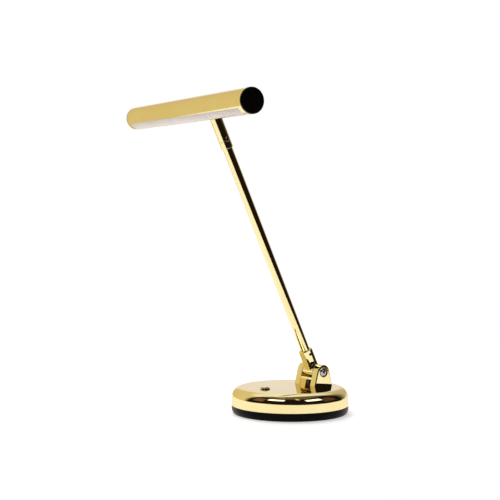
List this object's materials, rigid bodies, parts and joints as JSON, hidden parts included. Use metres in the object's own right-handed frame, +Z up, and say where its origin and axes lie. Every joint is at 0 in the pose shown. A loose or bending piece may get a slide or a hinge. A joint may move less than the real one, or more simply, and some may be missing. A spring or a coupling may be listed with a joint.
{
  "type": "piano lamp",
  "caption": "Desk-top piano lamp: round weighted base with a push switch, a tilting straight arm and a tube-shaped light that swivels on it.",
  "frame": {"origin": "centre of the round base's underside, on the surface it stands on", "axes": "+Z up, +X along the hinge pin towards the lamp's right, front towards -Y, where the arm leans"},
  "size_m": [0.3659, 0.2427, 0.45],
  "materials": {
    "polished_brass": "polished and lacquered",
    "skirt_black": "fine satin",
    "iron": "as cast, painted black",
    "plate_steel": "zinc plated",
    "screw_steel": "bright zinc",
    "pivot_steel": "polished nickel",
    "pad_rubber": "matte",
    "grommet_rubber": "satin",
    "nylon": "natural",
    "switch_plastic": "satin",
    "spring_steel": "bright",
    "board_green": "solder mask",
    "cable_pvc": "satin",
    "diffuser_opal": "frosted",
    "rail_aluminium": "extruded",
    "strip_white": "white solder mask"
  },
  "bodies": {
    "base": {"base_cover": "polished_brass", "base_skirt": "skirt_black", "ballast_weight": "iron", "bottom_plate": "plate_steel", "foot_pad": "pad_rubber", "bottom_screws": "screw_steel", "driver_board": "board_green", "board_screws": "screw_steel", "cord_grommet": "grommet_rubber", "right_cheek": "polished_brass", "left_cheek": "polished_brass", "cheek_screws": "screw_steel", "friction_washers": "nylon", "switch_body": "switch_plastic", "switch_bezel": "polished_brass", "switch_spring": "spring_steel"},
    "button": {"switch_button": "polished_brass"},
    "arm": {"pivot_screws": "pivot_steel", "knuckle": "polished_brass", "knuckle_screws": "screw_steel", "arm_tube": "polished_brass", "arm_cable": "cable_pvc", "swivel_collar": "polished_brass", "swivel_spindle": "polished_brass"},
    "shade": {"swivel_stem": "polished_brass", "swivel_bush": "nylon", "stop_screw": "screw_steel", "saddle_washer": "plate_steel", "stem_nut": "polished_brass", "shade_tube": "polished_brass", "diffuser": "diffuser_opal", "near_cap": "polished_brass", "far_cap": "polished_brass", "led_channel": "rail_aluminium", "led_strip": "strip_white"}
  },
  "joints": [
    {"name": "arm_tilt", "type": "hinge", "parent": "base", "child": "arm", "pos_m": [0, 0.0425, 0.056], "axis": [1, 0, 0], "range_deg": [-40, 34]},
    {"name": "shade_swivel", "type": "hinge", "parent": "arm", "child": "shade", "pos_m": [0, -0.13228, 0.42079], "axis": [0, -0.4321, 0.9018], "range_deg": [-73, 86]},
    {"name": "switch_press", "type": "slide", "parent": "base", "child": "button", "axis": [0, 0, -1], "range_m": [0, 0.0015], "stiffness_N_per_m": 800, "springref_m": -0.0008, "deforming": ["switch_spring"]}
  ]
}
